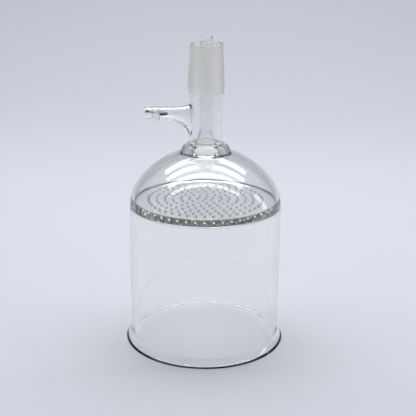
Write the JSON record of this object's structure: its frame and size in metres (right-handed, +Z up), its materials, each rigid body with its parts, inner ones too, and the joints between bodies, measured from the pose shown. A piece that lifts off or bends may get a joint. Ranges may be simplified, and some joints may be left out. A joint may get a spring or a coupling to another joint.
{
  "type": "buchner funnel",
  "caption": "All-glass vacuum filter funnel with a sealed perforated plate, a serrated side arm and a 24/29 ground cone, stood on its flared mouth.",
  "frame": {"origin": "on the funnel's axis at the foot of its lip, the middle of the circle that it stands on", "axes": "+Z up along the axis from the mouth to the ground cone and drip tip, -X towards the hose end of the side arm"},
  "size_m": [0.107, 0.107, 0.2057],
  "materials": {
    "clear_glass": "polished"
  },
  "bodies": {
    "root": {"funnel": "clear_glass"}
  },
  "joints": []
}
